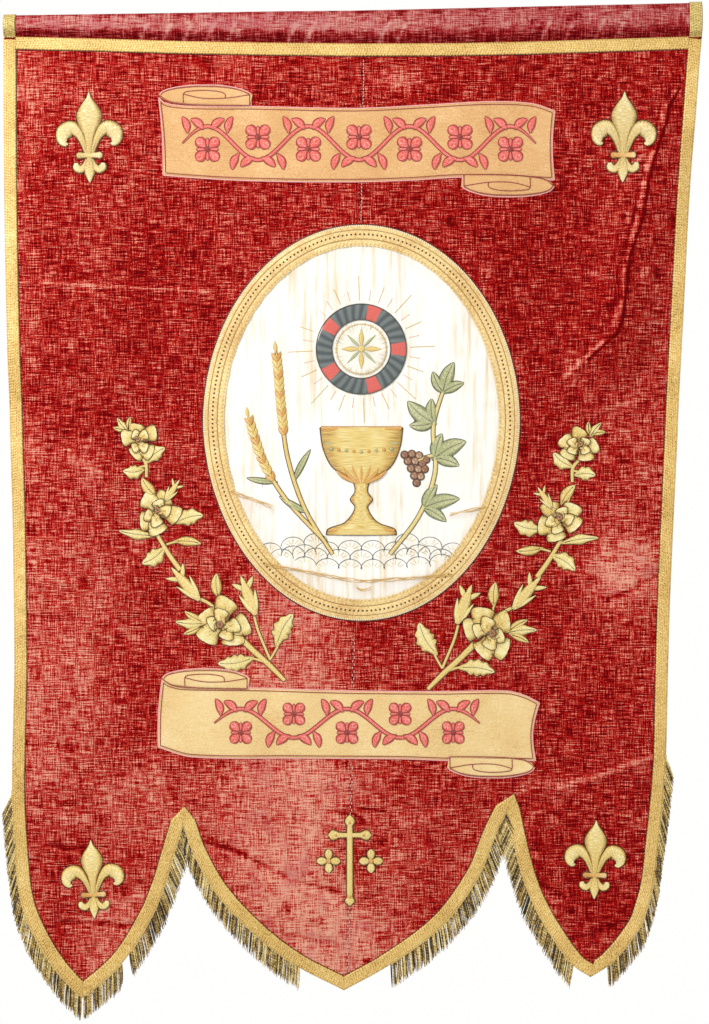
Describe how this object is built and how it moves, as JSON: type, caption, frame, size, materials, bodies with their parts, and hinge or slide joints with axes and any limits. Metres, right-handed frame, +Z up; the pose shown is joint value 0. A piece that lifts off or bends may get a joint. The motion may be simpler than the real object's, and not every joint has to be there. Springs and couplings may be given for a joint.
{
  "type": "church banner",
  "caption": "Red velvet church banner with a rod sleeve, three fringed lobes, gold galloon, an oval silk ground in a gold frame, ribbon panels and embroidered fleurs-de-lis and roses.",
  "frame": {"origin": "middle of the rod sleeve's top edge, in the middle of the cloth's thickness", "axes": "+X to the viewer's right along the sleeve, +Z up, the embroidered front faces -Y"},
  "size_m": [0.8735, 0.0265, 1.2712],
  "materials": {
    "velvet": "worn red silk velvet",
    "gold_galloon": "woven gold braid",
    "gold_embroidery": "satin-stitched gold silk",
    "gold_ribbon": "gold-thread cloth",
    "bullion_fringe": "tarnished metal thread",
    "white_silk": "aged white silk",
    "sage_silk": "sage green silk thread",
    "slate_silk": "slate and red silk thread"
  },
  "bodies": {
    "root": {"velvet_left": "velvet", "velvet_right": "velvet", "rod_sleeve": "velvet", "galloon_side_left": "gold_galloon", "galloon_lobe_left": "gold_galloon", "galloon_centre_left": "gold_galloon", "galloon_centre_right": "gold_galloon", "galloon_lobe_right": "gold_galloon", "galloon_side_right": "gold_galloon", "galloon_top": "gold_galloon", "galloon_head_left": "gold_galloon", "galloon_head_right": "gold_galloon", "oval_silk": "white_silk", "oval_frame": "gold_galloon", "embroidered_cup": "gold_embroidery", "embroidered_disc": "white_silk", "embroidered_ring": "slate_silk", "embroidered_wheat": "gold_embroidery", "embroidered_vine": "sage_silk", "ribbon_upper": "gold_ribbon", "ribbon_lower": "gold_ribbon", "curl_upper_left": "gold_ribbon", "curl_upper_right": "gold_ribbon", "curl_lower_left": "gold_ribbon", "curl_lower_right": "gold_ribbon", "fleur_upper_left": "gold_embroidery", "fleur_upper_right": "gold_embroidery", "fleur_lower_left": "gold_embroidery", "fleur_lower_right": "gold_embroidery", "spray_upper_left": "gold_embroidery", "spray_upper_right": "gold_embroidery", "spray_middle_left": "gold_embroidery", "spray_middle_right": "gold_embroidery", "spray_lower_left": "gold_embroidery", "spray_lower_right": "gold_embroidery", "cross": "gold_embroidery", "quatrefoil_left": "gold_embroidery", "quatrefoil_right": "gold_embroidery", "fringe_left_outer": "bullion_fringe", "fringe_left_tip": "bullion_fringe", "fringe_left_inner": "bullion_fringe", "fringe_centre_left": "bullion_fringe", "fringe_centre_right": "bullion_fringe", "fringe_right_inner": "bullion_fringe", "fringe_right_outer": "bullion_fringe"}
  },
  "joints": []
}
